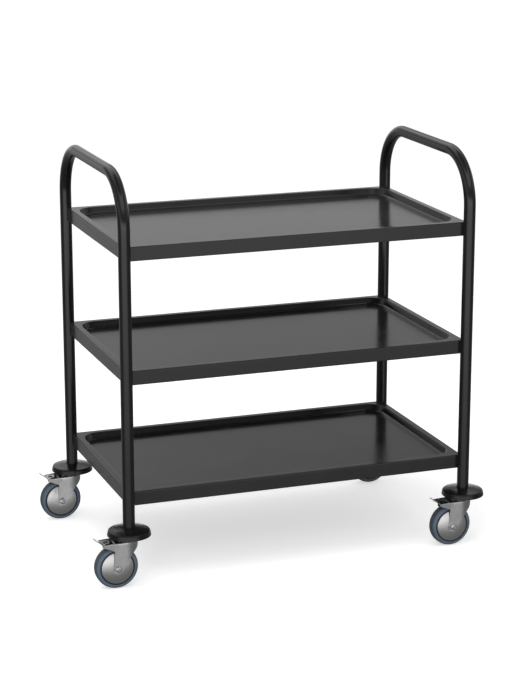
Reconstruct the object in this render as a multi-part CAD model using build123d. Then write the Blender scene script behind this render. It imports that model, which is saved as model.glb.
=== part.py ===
from build123d import *
import math
import os

# Serving trolley with three trays, in millimetres.
# X runs along its length, Y across it from front to back, and Z up from the floor.
# The origin is on the floor, midway between the four legs.

# Frame tubes
leg_spacing_length = 825.0
leg_spacing_width = 495.0
tube_diameter = 27.6
tube_wall = 1.5
handle_rise = 166.5
handle_bend_radius = 117.0

# Trays
leg_outset_length = 1.0
leg_outset_width = 7.0
top_tray_height = 779.5
bottom_tray_height = 218.0
tray_sheet = 1.0
rim_width = 16.0
pan_depth = 15.0
pan_wall_run = 5.5
pan_corner_radius = 45.0
pan_foot_radius = 4.0
pan_lip_radius = 1.5
skirt_height = 32.3
skirt_bend_radius = 2.5
hem_width = 8.0

# Fastening of the trays to the legs
tray_bolt_drop = 18.0
tray_bolt_diameter = 6.0
tray_bolt_hole_clearance = 0.3
tray_bolt_head_flats = 10.0
tray_bolt_head_height = 4.0
tray_bolt_engagement = 8.0
corner_plate_thickness = 2.5
corner_plate_gap = 8.0
rivet_nut_diameter = 8.0
rivet_nut_length = 10.0
rivet_nut_flange_diameter = 10.0
rivet_nut_flange_thickness = 1.0

# Wheels
wheel_diameter = 100.0
tyre_width = 27.0
tyre_tread_width = 15.0
tyre_shoulder_drop = 5.0
tyre_shoulder_radius = 8.0
tyre_bead_radius = 2.0
rim_diameter = 76.0
rim_thickness = 4.0
rim_inset = 1.5
web_thickness = 6.0
hub_diameter = 22.0
hub_length = 30.0

# Castor forks
castor_trail = 32.0
crown_clearance = 9.5
fork_sheet = 2.5
fork_inner_width = 36.0
fork_bend_radius = 4.0
fork_nose = 19.5
fork_nose_length = 32.0
fork_tail = 66.3
crown_tail = 28.0
web_height = 5.8
web_foot_reach = 3.0
web_foot_height = 81.5
web_corner_radius = 6.0
cheek_back_reach = 7.0
axle_boss_radius = 11.0
arm_drop = 3.7
arm_flare = 2.0
arm_tip_depth = 7.7
arm_root_depth = 19.5
arm_root_radius = 6.0

# Axles
axle_diameter = 8.0
axle_clearance = 0.05
axle_sleeve_wall = 2.0
axle_hex_flats = 13.0
axle_head_height = 5.3
axle_nut_height = 6.5
axle_thread_stub = 2.0
thread_guard_diameter = 74.0
thread_guard_thickness = 1.6
thread_guard_gap = 0.6
thread_guard_boss_diameter = 26.0
thread_guard_crown_diameter = 50.0
thread_guard_crown_drop = 0.95
thread_guard_crown_radius = 120.0
thread_guard_edge_radius = 0.7

# Swivels
king_pin_diameter = 12.0
king_pin_clearance = 0.06
king_pin_head_diameter = 18.0
king_pin_head_height = 3.2
swivel_gap = 0.3
ball_ring_inner_diameter = 28.0
ball_ring_outer_diameter = 40.0
ball_ring_height = 3.3
bearing_plate_diameter = 50.0
bearing_plate_thickness = 6.0
bearing_plate_edge_radius = 2.5
stem_diameter = 12.0
stem_length = 30.0

# Bumpers
bumper_diameter = 100.0
bumper_shoulder_diameter = 95.6
bumper_shoulder_height = 12.0
bumper_crown_diameter = 64.0
bumper_crown_height = 15.0
bumper_collar_wall = 2.5
bumper_height = 17.0
bumper_floor = 3.5
bumper_skin = 3.0
bumper_foot_radius = 0.8
bumper_edge_radius = 4.0
bumper_crown_radius = 30.0
bumper_rib_count = 8
bumper_rib_thickness = 2.0

# Brakes
brake_pin_diameter = 4.0
brake_pin_clearance = 0.05
brake_pin_head_diameter = 6.5
brake_pin_head_height = 0.7
brake_pin_inset = 31.3
brake_pin_drop = 7.5
brake_press_angle = 10.0
pedal_sheet = 1.6
pedal_side_gap = 1.5
pedal_bend_inset = 1.3
pedal_bend_rise = 2.5
pedal_bend_radius = 3.0
blade_width = 16.0
blade_reach = 17.8
blade_rise = 13.2
blade_corner_radius = 5.0
yoke_back_reach = 1.5
yoke_front_reach = 6.0
yoke_corner_radius = 2.0
tongue_width = 20.0
tongue_reach = 18.0
tongue_rise = 3.6
tongue_corner_radius = 4.0
pedal_ear_radius = 4.5
shoe_width = 11.0
shoe_length = 10.5
shoe_lead = 3.5
shoe_crown = 1.2
shoe_clearance = 0.4

# Places worked out from the sizes above
tube_radius = tube_diameter / 2
half_length = leg_spacing_length / 2
half_width = leg_spacing_width / 2
handle_height = top_tray_height + handle_rise
tray_pitch = (top_tray_height - bottom_tray_height) / 2
tray_length = leg_spacing_length - 2 * leg_outset_length
tray_width = leg_spacing_width - 2 * leg_outset_width
tray_heights = {
    "top_tray": top_tray_height,
    "middle_tray": top_tray_height - tray_pitch,
    "bottom_tray": bottom_tray_height,
}
front_skirt_angle = math.asin((leg_outset_width + tray_sheet) / tube_radius)
side_skirt_angle = math.acos((leg_outset_length + tray_sheet) / tube_radius)
tray_bolt_angle = (front_skirt_angle + side_skirt_angle) / 2
wheel_radius = wheel_diameter / 2
crown_under = wheel_diameter + crown_clearance
crown_top = crown_under + fork_sheet
bearing_plate_under = crown_top + swivel_gap + ball_ring_height
bumper_base = bearing_plate_under + bearing_plate_thickness
leg_foot = bumper_base + bumper_floor
fork_half_inner = fork_inner_width / 2
fork_half_outer = fork_half_inner + fork_sheet
axle_sleeve_radius = axle_diameter / 2 + axle_clearance + axle_sleeve_wall
arm_crease = castor_trail + cheek_back_reach
brake_pin_x = brake_pin_inset - fork_tail
brake_pin_z = crown_top - brake_pin_drop
pedal_width = fork_inner_width - 2 * pedal_side_gap
corners = {
    "front_left": (-1, -1),
    "front_right": (1, -1),
    "rear_left": (-1, 1),
    "rear_right": (1, 1),
}


def leg_place(corner):
    """Place of a leg's axis on the floor."""
    side, end = corners[corner]
    return Pos(side * half_length, end * half_width, 0)


def bolt_plane(corner, tray_height):
    """Plane on a leg's axis that looks into the tray midway between its skirts, at the height of its bolt."""
    side, end = corners[corner]
    origin = (side * half_length, end * half_width, tray_height - tray_bolt_drop)
    inward = (-side * math.cos(tray_bolt_angle), -end * math.sin(tray_bolt_angle), 0)
    return Plane(origin, x_dir=(0, 0, 1), z_dir=inward)


def rod(radius, start, length):
    """Round bar along Z from the height start."""
    return Pos(0, 0, start) * Cylinder(radius, length, align=(Align.CENTER, Align.CENTER, Align.MIN))


def tube(outer_radius, inner_radius, start, length):
    """Round tube along Z from the height start."""
    return rod(outer_radius, start, length) - rod(inner_radius, start, length)


def hexagon(flats, start, length):
    """Hexagonal bar along Z from the height start, with the given size across its flats."""
    return Pos(0, 0, start) * extrude(RegularPolygon(flats / 2, 6, major_radius=False), amount=length)


def rounded_face(*corner_list):
    """Flat outline of straight sides, from corners given as two coordinates and a rounding radius."""
    points = [(across, along) for across, along, _ in corner_list]
    radii = [radius for _, _, radius in corner_list]
    return make_face(FilletPolyline(*points, radius=radii, close=True))


def turned(*corner_list):
    """Solid of revolution about Z, from corners given as radius, height and a rounding radius."""
    return revolve(Plane.XZ * rounded_face(*corner_list), Axis.Z)


def along_axle(shape):
    """Turn a shape made along Z to lie along the axle, with its top towards the front."""
    return Pos(-castor_trail, 0, wheel_radius) * Rot(90, 0, 0) * shape


# Hoops
def hoop(side):
    """Bent tube with two legs and the push handle between them, pierced for the rivet nuts."""
    top = handle_height - tube_radius
    corner_points = [(-half_width, leg_foot), (-half_width, top), (half_width, top), (half_width, leg_foot)]
    path = Plane.YZ * FilletPolyline(*corner_points, radius=handle_bend_radius)
    section = Plane(path @ 0, z_dir=path % 0) * (Circle(tube_radius) - Circle(tube_radius - tube_wall))
    bent = Pos(side * half_length, 0, 0) * sweep(section, path)
    for corner, (corner_side, _) in corners.items():
        if corner_side == side:
            for height in tray_heights.values():
                bent -= bolt_plane(corner, height) * rod(rivet_nut_diameter / 2, 0, tube_diameter)
    return bent


# Trays
def pan(depth, grow):
    """Tapered block of the pan, hanging from the rim's top and grown sideways by the sheet."""
    length = tray_length - 2 * rim_width + 2 * grow
    width = tray_width - 2 * rim_width + 2 * grow
    outline = Plane.XY.rotated((180, 0, 0)) * RectangleRounded(length, width, pan_corner_radius + grow)
    slope = math.degrees(math.atan(pan_wall_run / pan_depth))
    block = extrude(outline, amount=depth, taper=slope)
    return fillet(block.faces().sort_by(Axis.Z)[0].edges(), pan_foot_radius + grow)


def tray(height):
    """Pressed tray: rim, pan, and a skirt with a turned-in hem, notched round the legs."""
    top = (Align.CENTER, Align.CENTER, Align.MAX)
    body = Box(tray_length, tray_width, skirt_height, align=top)
    body = fillet(body.faces().sort_by(Axis.Z)[-1].edges(), skirt_bend_radius)
    inside = Box(
        tray_length - 2 * tray_sheet,
        tray_width - 2 * tray_sheet,
        skirt_height - 2 * tray_sheet,
        align=top,
    )
    inside = fillet(inside.faces().sort_by(Axis.Z)[-1].edges(), skirt_bend_radius - tray_sheet)
    mouth = Box(tray_length - 2 * hem_width, tray_width - 2 * hem_width, skirt_height, align=top)
    body -= Pos(0, 0, -tray_sheet) * inside
    body -= Pos(0, 0, -skirt_height / 2) * mouth
    body += pan(pan_depth + tray_sheet, tray_sheet)
    body -= pan(pan_depth, 0)
    lip = body.faces().filter_by(Axis.Z).sort_by(Axis.Z)[-1].inner_wires()[0].edges()
    body = fillet(lip, pan_lip_radius)
    for corner in corners:
        body -= leg_place(corner) * rod(tube_radius, -2 * skirt_height, 3 * skirt_height)
    return Pos(0, 0, height) * body


def corner_plate(corner, height):
    """Diagonal plate under a tray corner, cut to the inside of the skirts."""
    plate_height = skirt_height - skirt_bend_radius - tray_sheet
    plane = bolt_plane(corner, height)
    blank = Box(2 * skirt_height, tray_width / 2, corner_plate_thickness)
    plate = plane * (Pos(0, 0, tube_radius + corner_plate_gap + corner_plate_thickness / 2) * blank)
    hollow = Box(
        tray_length - 2 * tray_sheet,
        tray_width - 2 * tray_sheet,
        plate_height,
        align=(Align.CENTER, Align.CENTER, Align.MAX),
    )
    plate &= Pos(0, 0, height - skirt_bend_radius) * hollow
    hole = tray_bolt_diameter / 2 + tray_bolt_hole_clearance
    return plate - plane * rod(hole, 0, 4 * tube_diameter)


def tray_bolt(corner, height):
    """Hexagon bolt from inside a tray corner into the leg."""
    seat = tube_radius + corner_plate_gap + corner_plate_thickness
    tip = tube_radius - tray_bolt_engagement
    bolt = rod(tray_bolt_diameter / 2, tip, seat - tip)
    bolt += hexagon(tray_bolt_head_flats, seat, tray_bolt_head_height)
    return bolt_plane(corner, height) * bolt


def rivet_nut(corner, height):
    """Flanged blind nut set in the wall of a leg."""
    nut = rod(rivet_nut_diameter / 2, tube_radius - rivet_nut_length, rivet_nut_length)
    nut += rod(rivet_nut_flange_diameter / 2, tube_radius, rivet_nut_flange_thickness)
    nut -= rod(tray_bolt_diameter / 2, 0, tube_diameter)
    return bolt_plane(corner, height) * nut


# Feet
def leg_plug():
    """Threaded plug in the foot of a leg."""
    return tube(tube_radius - tube_wall, stem_diameter / 2, leg_foot, stem_length)


def bumper():
    """Round buffer disc with a socket for the leg, hollow underneath and stiffened by ribs."""
    stem = stem_diameter / 2
    rim = bumper_diameter / 2
    shoulder = bumper_shoulder_diameter / 2
    hub = bearing_plate_diameter / 2
    ceiling = bumper_base + bumper_shoulder_height - bumper_skin
    disc = turned(
        (stem, bumper_base, 0),
        (rim, bumper_base, bumper_foot_radius),
        (shoulder, bumper_base + bumper_shoulder_height, bumper_edge_radius),
        (bumper_crown_diameter / 2, bumper_base + bumper_crown_height, bumper_crown_radius),
        (tube_radius + bumper_collar_wall, bumper_base + bumper_height, 0),
        (tube_radius, bumper_base + bumper_height, 0),
        (tube_radius, leg_foot, 0),
        (stem, leg_foot, 0),
    )
    hollow = turned(
        (hub, bumper_base, 0),
        (rim - bumper_skin, bumper_base, 0),
        (shoulder - bumper_skin, ceiling, 0),
        (hub, ceiling, 0),
    )
    outward = (Align.MIN, Align.CENTER, Align.MIN)
    rib = Pos(0, 0, bumper_base) * Box(rim, bumper_rib_thickness, bumper_height, align=outward)
    for turn in PolarLocations(0, bumper_rib_count):
        hollow -= turn * rib
    return disc - hollow


def swivel_head():
    """Threaded stem, bearing plate and king pin with its riveted end, in one turned piece."""
    pin = king_pin_diameter / 2
    pin_head = king_pin_head_diameter / 2
    head_top = crown_under - swivel_gap
    plate = bearing_plate_diameter / 2
    stem = stem_diameter / 2
    return turned(
        (0, head_top - king_pin_head_height, 0),
        (pin_head, head_top - king_pin_head_height, 0),
        (pin_head, head_top, 0),
        (pin, head_top, 0),
        (pin, bearing_plate_under, 0),
        (plate, bearing_plate_under, bearing_plate_edge_radius),
        (plate, bumper_base, 0),
        (stem, bumper_base, 0),
        (stem, bumper_base + stem_length, 0),
        (0, bumper_base + stem_length, 0),
    )


def ball_ring():
    """Ring of the swivel bearing, hung from the bearing plate just clear of the crown."""
    return tube(
        ball_ring_outer_diameter / 2,
        ball_ring_inner_diameter / 2,
        bearing_plate_under - ball_ring_height,
        ball_ring_height,
    )


# Castors
def fork():
    """Pressed fork: crown, two cheeks and a curved front web, with two flared arms for the brake lever."""
    nose_start = fork_nose - fork_nose_length

    def channel(inset, top):
        """Block with straight sides, a flared tail and an elliptical nose, up to the given height."""
        half = fork_half_outer - inset
        end = half + arm_flare
        sides = Polygon(
            (nose_start, -half),
            (nose_start, half),
            (-arm_crease, half),
            (-fork_tail, end),
            (-fork_tail, -end),
            (-arm_crease, -half),
            align=None,
        )
        nose = Pos(nose_start, 0) * Ellipse(fork_nose_length - inset, half)
        return extrude(sides + nose, amount=top)

    outer = channel(0, crown_top)
    outer = fillet(outer.faces().sort_by(Axis.Z)[-1].edges(), fork_bend_radius)
    inner = channel(fork_sheet, crown_under)
    inner = fillet(inner.faces().sort_by(Axis.Z)[-1].edges(), fork_bend_radius - fork_sheet)
    side = rounded_face(
        (-fork_tail, crown_top - arm_drop, 0),
        (-crown_tail, crown_top, 0),
        (fork_nose, crown_top, 0),
        (fork_nose, crown_under - web_height, web_corner_radius),
        (web_foot_reach, web_foot_height, web_corner_radius),
        (axle_boss_radius - castor_trail, wheel_radius, 0),
        (-axle_boss_radius - castor_trail, wheel_radius, 0),
        (-arm_crease, crown_top - arm_root_depth, arm_root_radius),
        (-fork_tail, crown_top - arm_tip_depth, 0),
    )
    axle = Pos(-castor_trail, wheel_radius)
    side += axle * Circle(axle_boss_radius)
    side -= axle * Circle(axle_diameter / 2)
    side -= Pos(brake_pin_x, brake_pin_z) * Circle(brake_pin_diameter / 2)
    pressed = (outer - inner) & extrude(Plane.XZ * side, amount=2 * fork_half_outer, both=True)
    behind = Box(fork_tail, 4 * fork_half_outer, 4 * crown_top, align=(Align.MAX, Align.CENTER, Align.CENTER))
    window = channel(fork_sheet, 2 * crown_top) & (Pos(-crown_tail, 0, 0) * behind)
    pressed -= window
    return pressed - rod(king_pin_diameter / 2 + king_pin_clearance, 0, crown_top)


def axle_bolt():
    """Hexagon bolt through the cheeks, its head at the back and its end at the front."""
    end = fork_half_outer + axle_nut_height + axle_thread_stub
    bolt = rod(axle_diameter / 2, -fork_half_outer, fork_half_outer + end)
    bolt += hexagon(axle_hex_flats, -fork_half_outer - axle_head_height, axle_head_height)
    return along_axle(bolt)


def axle_nut():
    """Hexagon nut on the front cheek."""
    nut = hexagon(axle_hex_flats, fork_half_outer, axle_nut_height)
    return along_axle(nut - rod(axle_diameter / 2, 0, 2 * fork_inner_width))


def axle_sleeve():
    """Spacer tube on the bolt, clamped between the cheeks, on which the wheel turns."""
    bore = axle_diameter / 2 + axle_clearance
    return along_axle(tube(axle_sleeve_radius, bore, -fork_half_inner, fork_inner_width))


def thread_guard():
    """Round cover beside the wheel, dished out to a boss that the cheek holds."""
    rim_face = tyre_width / 2 - rim_inset + thread_guard_gap
    boss = thread_guard_boss_diameter / 2
    crown = thread_guard_crown_diameter / 2
    crown_face = fork_half_inner - thread_guard_crown_drop
    edge = thread_guard_diameter / 2
    return turned(
        (axle_sleeve_radius, fork_half_inner - thread_guard_thickness, 0),
        (boss, fork_half_inner - thread_guard_thickness, 0),
        (crown, crown_face - thread_guard_thickness, thread_guard_crown_radius - thread_guard_thickness),
        (edge, rim_face, 0),
        (edge, rim_face + thread_guard_thickness, thread_guard_edge_radius),
        (crown, crown_face, thread_guard_crown_radius),
        (boss, fork_half_inner, 0),
        (axle_sleeve_radius, fork_half_inner, 0),
    )


def thread_guards():
    """The pair of round covers, one on each side of the wheel."""
    return [along_axle(thread_guard()), along_axle(Rot(180, 0, 0) * thread_guard())]


def wheel_core():
    """Moulded wheel centre: hub, web and rim."""
    bore = axle_sleeve_radius + axle_clearance
    hub = hub_diameter / 2
    rim = rim_diameter / 2
    rim_half = tyre_width / 2 - rim_inset
    web_half = web_thickness / 2
    return along_axle(turned(
        (bore, -hub_length / 2, 0),
        (hub, -hub_length / 2, 0),
        (hub, -web_half, 0),
        (rim - rim_thickness, -web_half, 0),
        (rim - rim_thickness, -rim_half, 0),
        (rim, -rim_half, 0),
        (rim, rim_half, 0),
        (rim - rim_thickness, rim_half, 0),
        (rim - rim_thickness, web_half, 0),
        (hub, web_half, 0),
        (hub, hub_length / 2, 0),
        (bore, hub_length / 2, 0),
    ))


def tyre():
    """Rubber tyre with a flat tread, rounded shoulders and rounded beads."""
    half = tyre_width / 2
    tread = tyre_tread_width / 2
    bead = rim_diameter / 2
    shoulder = wheel_radius - tyre_shoulder_drop
    return along_axle(turned(
        (bead, -half, tyre_bead_radius),
        (shoulder, -half, tyre_shoulder_radius),
        (wheel_radius, -tread, tyre_shoulder_radius),
        (wheel_radius, tread, tyre_shoulder_radius),
        (shoulder, half, tyre_shoulder_radius),
        (bead, half, tyre_bead_radius),
    ))


# Brakes
def brake_pin():
    """Riveted pin across the arms of the fork."""
    head = rod(brake_pin_head_diameter / 2, fork_half_outer, brake_pin_head_height)
    pin = rod(brake_pin_diameter / 2, -fork_half_outer, 2 * fork_half_outer)
    pin += head + Rot(180, 0, 0) * head
    return Pos(brake_pin_x, 0, brake_pin_z) * Rot(90, 0, 0) * pin


def brake_pedal():
    """Brake lever: bent strip with blade and tongue, yoke with ears on the pin, and shoe fitting the tyre."""
    bend = (pedal_bend_inset - fork_tail, brake_pin_z + pedal_bend_rise)
    tip = (bend[0] - blade_reach, bend[1] + blade_rise)
    tongue = (bend[0] + tongue_reach, bend[1] + tongue_rise)
    slope = tongue_rise / tongue_reach

    def on_tongue(ahead):
        """Point on the middle of the tongue's sheet, from its distance ahead of the bend."""
        return (bend[0] + ahead, bend[1] + ahead * slope)

    def plan_strip(start, end, width, radius):
        """Rounded rectangle in plan, from start to end along X."""
        return Pos((start + end) / 2, 0) * RectangleRounded(end - start, width, radius)

    strip = trace(FilletPolyline(tip, bend, tongue, radius=pedal_bend_radius), line_width=pedal_sheet)
    lever = extrude(Plane.XZ * strip, amount=pedal_width / 2, both=True)
    yoke_back = bend[0] - yoke_back_reach
    yoke_front = bend[0] + yoke_front_reach
    plan = plan_strip(tip[0], yoke_front, blade_width, blade_corner_radius)
    plan += plan_strip(yoke_back, yoke_front, pedal_width, yoke_corner_radius)
    plan += plan_strip(yoke_back, tongue[0], tongue_width, tongue_corner_radius)
    lever &= extrude(plan, amount=2 * crown_top)

    pin = Pos(brake_pin_x, brake_pin_z)
    root = Line(bend, on_tongue(yoke_front_reach - yoke_corner_radius))
    ear = make_hull((pin * Circle(pedal_ear_radius)).edges() + root.edges())
    ears = extrude(Plane.XZ * ear, amount=pedal_width / 2, both=True)
    ears -= Box(2 * fork_tail, pedal_width - 2 * pedal_sheet, 2 * crown_top)

    front_x, front_z = on_tongue(shoe_lead + shoe_length)
    back_x, back_z = on_tongue(shoe_lead)
    block = Polygon(
        (front_x, front_z + shoe_crown),
        (back_x, back_z + shoe_crown),
        (back_x, wheel_radius),
        (front_x, wheel_radius),
        align=None,
    )
    shoe = extrude(Plane.XZ * block, amount=shoe_width / 2, both=True)
    hinge = Pos(brake_pin_x, 0, brake_pin_z)
    wheel_when_pressed = along_axle(rod(wheel_radius + shoe_clearance, -pedal_width, 2 * pedal_width))
    shoe -= hinge * Rot(0, brake_press_angle, 0) * hinge.inverse() * wheel_when_pressed

    hole = rod(brake_pin_diameter / 2 + brake_pin_clearance, -pedal_width, 2 * pedal_width)
    lever += ears + shoe
    return lever - hinge * Rot(90, 0, 0) * hole


tray_corners = [(corner, height) for height in tray_heights.values() for corner in corners]
groups = {
    "tray_corner_plates": [corner_plate(*place) for place in tray_corners],
    "tray_bolts": [tray_bolt(*place) for place in tray_corners],
    "rivet_nuts": [rivet_nut(*place) for place in tray_corners],
    "leg_plugs": [leg_place(corner) * leg_plug() for corner in corners],
}
foot_pieces = {
    "bumper": bumper(),
    "swivel_head": swivel_head(),
    "ball_ring": ball_ring(),
    "fork": fork(),
    "axle_bolt": axle_bolt(),
    "axle_nut": axle_nut(),
    "axle_sleeve": axle_sleeve(),
    "thread_guards": Compound(children=thread_guards()),
    "wheel_core": wheel_core(),
    "tyre": tyre(),
    "brake_pin": brake_pin(),
    "brake_pedal": brake_pedal(),
}

nodes = {"left_hoop": hoop(-1), "right_hoop": hoop(1)}
for name, height in tray_heights.items():
    nodes[name] = tray(height)
for name, solids in groups.items():
    nodes[name] = Compound(children=solids)
for corner in corners:
    for name, piece in foot_pieces.items():
        nodes[f"{corner}_{name}"] = leg_place(corner) * piece

os.makedirs("parts", exist_ok=True)
for name, shape in nodes.items():
    export_step(shape, f"parts/{name}.step")
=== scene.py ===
"""Serving trolley with three trays on braked castors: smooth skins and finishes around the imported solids."""
import math

import bmesh
import bpy
import numpy as np
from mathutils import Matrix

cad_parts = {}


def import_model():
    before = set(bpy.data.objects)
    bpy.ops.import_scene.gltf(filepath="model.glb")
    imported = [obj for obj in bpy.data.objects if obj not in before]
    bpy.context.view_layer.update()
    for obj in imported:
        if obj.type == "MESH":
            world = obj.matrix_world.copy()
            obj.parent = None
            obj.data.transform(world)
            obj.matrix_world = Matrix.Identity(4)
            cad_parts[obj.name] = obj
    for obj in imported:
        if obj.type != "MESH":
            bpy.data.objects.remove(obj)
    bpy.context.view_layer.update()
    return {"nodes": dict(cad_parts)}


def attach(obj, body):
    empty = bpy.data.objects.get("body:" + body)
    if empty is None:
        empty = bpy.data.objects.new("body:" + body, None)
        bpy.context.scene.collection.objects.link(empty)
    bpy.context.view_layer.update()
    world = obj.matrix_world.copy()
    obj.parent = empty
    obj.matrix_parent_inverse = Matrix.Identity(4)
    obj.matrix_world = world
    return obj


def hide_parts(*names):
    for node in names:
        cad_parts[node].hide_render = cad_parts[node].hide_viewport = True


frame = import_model()

# Sizes of the trolley in metres, the same as its solids have
half_length = 0.4125
half_width = 0.2475
tube_radius = 0.0138
handle_height = 0.946
handle_bend = 0.117
leg_foot = 0.1251

tray_tops = {"top_tray": 0.7795, "middle_tray": 0.49875, "bottom_tray": 0.218}
tray_half_length = 0.4115
tray_half_width = 0.2405
tray_sheet = 0.001
rim_width = 0.016
pan_depth = 0.015
pan_wall_run = 0.0055
pan_corner = 0.045
pan_foot = 0.004
pan_lip = 0.0015
skirt_height = 0.0323
skirt_bend = 0.0025
hem_bend = 0.0012
hem_width = 0.008
notch_bite = 0.0005
notch_reach = 0.010

wheel_radius = 0.050
trail = 0.032
tyre_half = 0.0135
rim_radius = 0.038
rim_inset = 0.0015
bolt_radius = 0.004
bolt_flats = 0.013

crown_under = 0.1095
fork_sheet = 0.0025
crown_top = crown_under + fork_sheet
fork_half = 0.0205
fork_half_inside = fork_half - fork_sheet
fork_bend = 0.004
fork_nose = 0.0195
fork_nose_length = 0.032
fork_tail = 0.0663
crown_tail = 0.028
arm_crease = trail + 0.007
arm_drop = 0.0037
arm_flare = 0.002

bearing_under = 0.1156
bumper_base = 0.1216

pin_back = 0.035
pin_height = 0.1045
press_angle = math.radians(10)
pedal_sheet = 0.0016
bend_x = 0.0013 - fork_tail
bend_z = pin_height + 0.0025
tip = (bend_x - 0.0178, bend_z + 0.0132)
tongue = (bend_x + 0.018, bend_z + 0.0036)
tongue_slope = (tongue[1] - bend_z) / (tongue[0] - bend_x)
yoke_back = bend_x - 0.0015
yoke_front = bend_x + 0.006
yoke_half = 0.0165
yoke_corner = 0.002

corners = {"front_left": (-1, -1), "front_right": (1, -1), "rear_left": (-1, 1), "rear_right": (1, 1)}


# Lines, grids and meshes
def joined(*coordinates):
    """Points from their coordinates. One that stays the same along a side of the grid may be given once."""
    return np.stack(np.broadcast_arrays(*coordinates), axis=-1)


def full_turn(count):
    """Angles spaced evenly round a circle."""
    return np.linspace(0, 2 * math.pi, count, endpoint=False)


def rounded(corner_list, steps=9, closed=False):
    """Line through corners that are given as two coordinates and a radius.

    Before a corner the line leaves its side at radius times the tangent of half the turn.  At the angle a of
    the turn it has gone radius times sin(a) along that side and radius times (1 - cos(a)) towards the turn.
    A short straight stub at each end of a turn keeps the flats beside it flat.
    """
    stub_share, spare_share, same_point = 0.3, 0.45, 1e-7
    corner = np.array(corner_list, float)
    point = corner[:, :2]
    radius = corner[:, 2].copy()
    before = point - np.roll(point, 1, axis=0)
    after = np.roll(before, -1, axis=0)
    if not closed:
        before[0] = after[0]
        after[-1] = before[-1]
        radius[[0, -1]] = 0
    long_before = np.linalg.norm(before, axis=1)
    long_after = np.linalg.norm(after, axis=1)
    along = before / long_before[:, None]
    onward = after / long_after[:, None]
    cross = along[:, 0] * onward[:, 1] - along[:, 1] * onward[:, 0]
    turn = np.arctan2(cross, np.sum(along * onward, axis=1))
    side = joined(-along[:, 1], along[:, 0]) * np.sign(turn)[:, None]
    tangent = radius * np.tan(np.abs(turn) / 2)
    spare_before = np.maximum(long_before - tangent - np.roll(tangent, 1), 0) * spare_share
    spare_after = np.maximum(long_after - tangent - np.roll(tangent, -1), 0) * spare_share
    angle = np.abs(turn)[:, None] * np.linspace(0, 1, steps)
    start = point - tangent[:, None] * along
    arc = start[:, None] + radius[:, None, None] * (
        np.sin(angle)[..., None] * along[:, None] + (1 - np.cos(angle))[..., None] * side[:, None]
    )
    stub_in = arc[:, 0] - np.minimum(radius * stub_share, spare_before)[:, None] * along
    stub_out = arc[:, -1] + np.minimum(radius * stub_share, spare_after)[:, None] * onward
    line = np.concatenate([stub_in[:, None], arc, stub_out[:, None]], axis=1).reshape(-1, 2)
    step = np.linalg.norm(line - np.roll(line, 1, axis=0), axis=1)
    keep = step > same_point
    if not closed:
        keep[0] = True
    return line[keep]


def both_ways(half):
    """Corners of half a section, after the same corners with their heights turned over."""
    return [(radius, -height, bend) for radius, height, bend in half[::-1]] + half


def lathe(profile, turns=96):
    """Surface of revolution about Z: each profile point, a radius and a height, goes round in a circle."""
    angle = full_turn(turns)
    radius, height = profile[:, :1], profile[:, 1:]
    return joined(radius * np.cos(angle), radius * np.sin(angle), height)


def prism(outline, low, high):
    """Two copies of an outline of X and Z, one at each depth in Y."""
    return joined(outline[:, 0], np.array([[low], [high]]), outline[:, 1])


def across_axle(points):
    """Turn what was made along Z to lie along the axle, with its top towards the front."""
    return joined(points[..., 0] - trail, -points[..., 2], points[..., 1] + wheel_radius)


def turned_about(points, angle):
    """Points turned about Z by an angle."""
    cos, sin = math.cos(angle), math.sin(angle)
    x, y, z = points[..., 0], points[..., 1], points[..., 2]
    return joined(x * cos - y * sin, x * sin + y * cos, z)


def skin(points, round_rows=False, round_columns=True, capped=False, keep=None):
    """Vertices and faces of a grid: a quad between each four neighbours, closed where the grid runs round."""
    rows, columns = points.shape[:2]
    number = np.arange(rows * columns).reshape(rows, columns)
    ends = [number[0].tolist(), number[-1].tolist()] if capped else []
    if round_rows:
        number = np.vstack([number, number[:1]])
    if round_columns:
        number = np.hstack([number, number[:, :1]])
    quads = np.stack([number[:-1, :-1], number[:-1, 1:], number[1:, 1:], number[1:, :-1]], axis=-1)
    quads = quads.reshape(-1, 4) if keep is None else quads[keep]
    return points.reshape(-1, 3), quads.tolist() + ends


def moved(skins, offset):
    """The same skins at another place."""
    return [(vertices + np.array(offset), faces) for vertices, faces in skins]


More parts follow.
